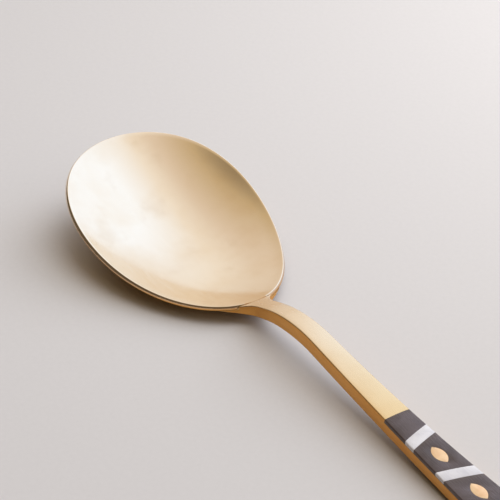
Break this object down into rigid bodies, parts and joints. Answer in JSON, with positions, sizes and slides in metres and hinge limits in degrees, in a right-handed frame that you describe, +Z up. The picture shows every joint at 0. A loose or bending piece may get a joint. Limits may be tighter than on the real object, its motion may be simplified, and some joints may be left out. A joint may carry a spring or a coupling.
{
  "type": "tablespoon",
  "caption": "Brass tablespoon with a wide egg-shaped bowl, a cranked neck and a flat handle that flares and carries a flush resin inlay along its top.",
  "frame": {"origin": "on the table under the spoon, midway along its length and in its long middle plane", "axes": "+X from the bowl's tip to the handle's end, +Y across the spoon, +Z up from the table"},
  "size_m": [0.2006, 0.046, 0.0163],
  "materials": {
    "brass": "satin, finely brushed pale brass",
    "filler": "satin filler metal, dressed flush",
    "adhesive": "cured clear-yellow adhesive",
    "ground": "dark grey-brown cast resin, polished",
    "band": "pearly white cast resin, polished",
    "seed": "peach cast resin, polished"
  },
  "bodies": {
    "root": {"bowl": "brass", "stem": "brass", "braze_joint": "filler", "bond_film": "adhesive", "band_1": "band", "band_2": "band", "band_3": "band", "band_4": "band", "band_5": "band", "band_6": "band", "ground_1": "ground", "ground_2": "ground", "ground_3": "ground", "ground_4": "ground", "ground_5": "ground", "ground_6": "ground", "ground_7": "ground", "seed_1": "seed", "seed_2": "seed", "seed_3": "seed", "seed_4": "seed", "seed_5": "seed"}
  },
  "joints": []
}
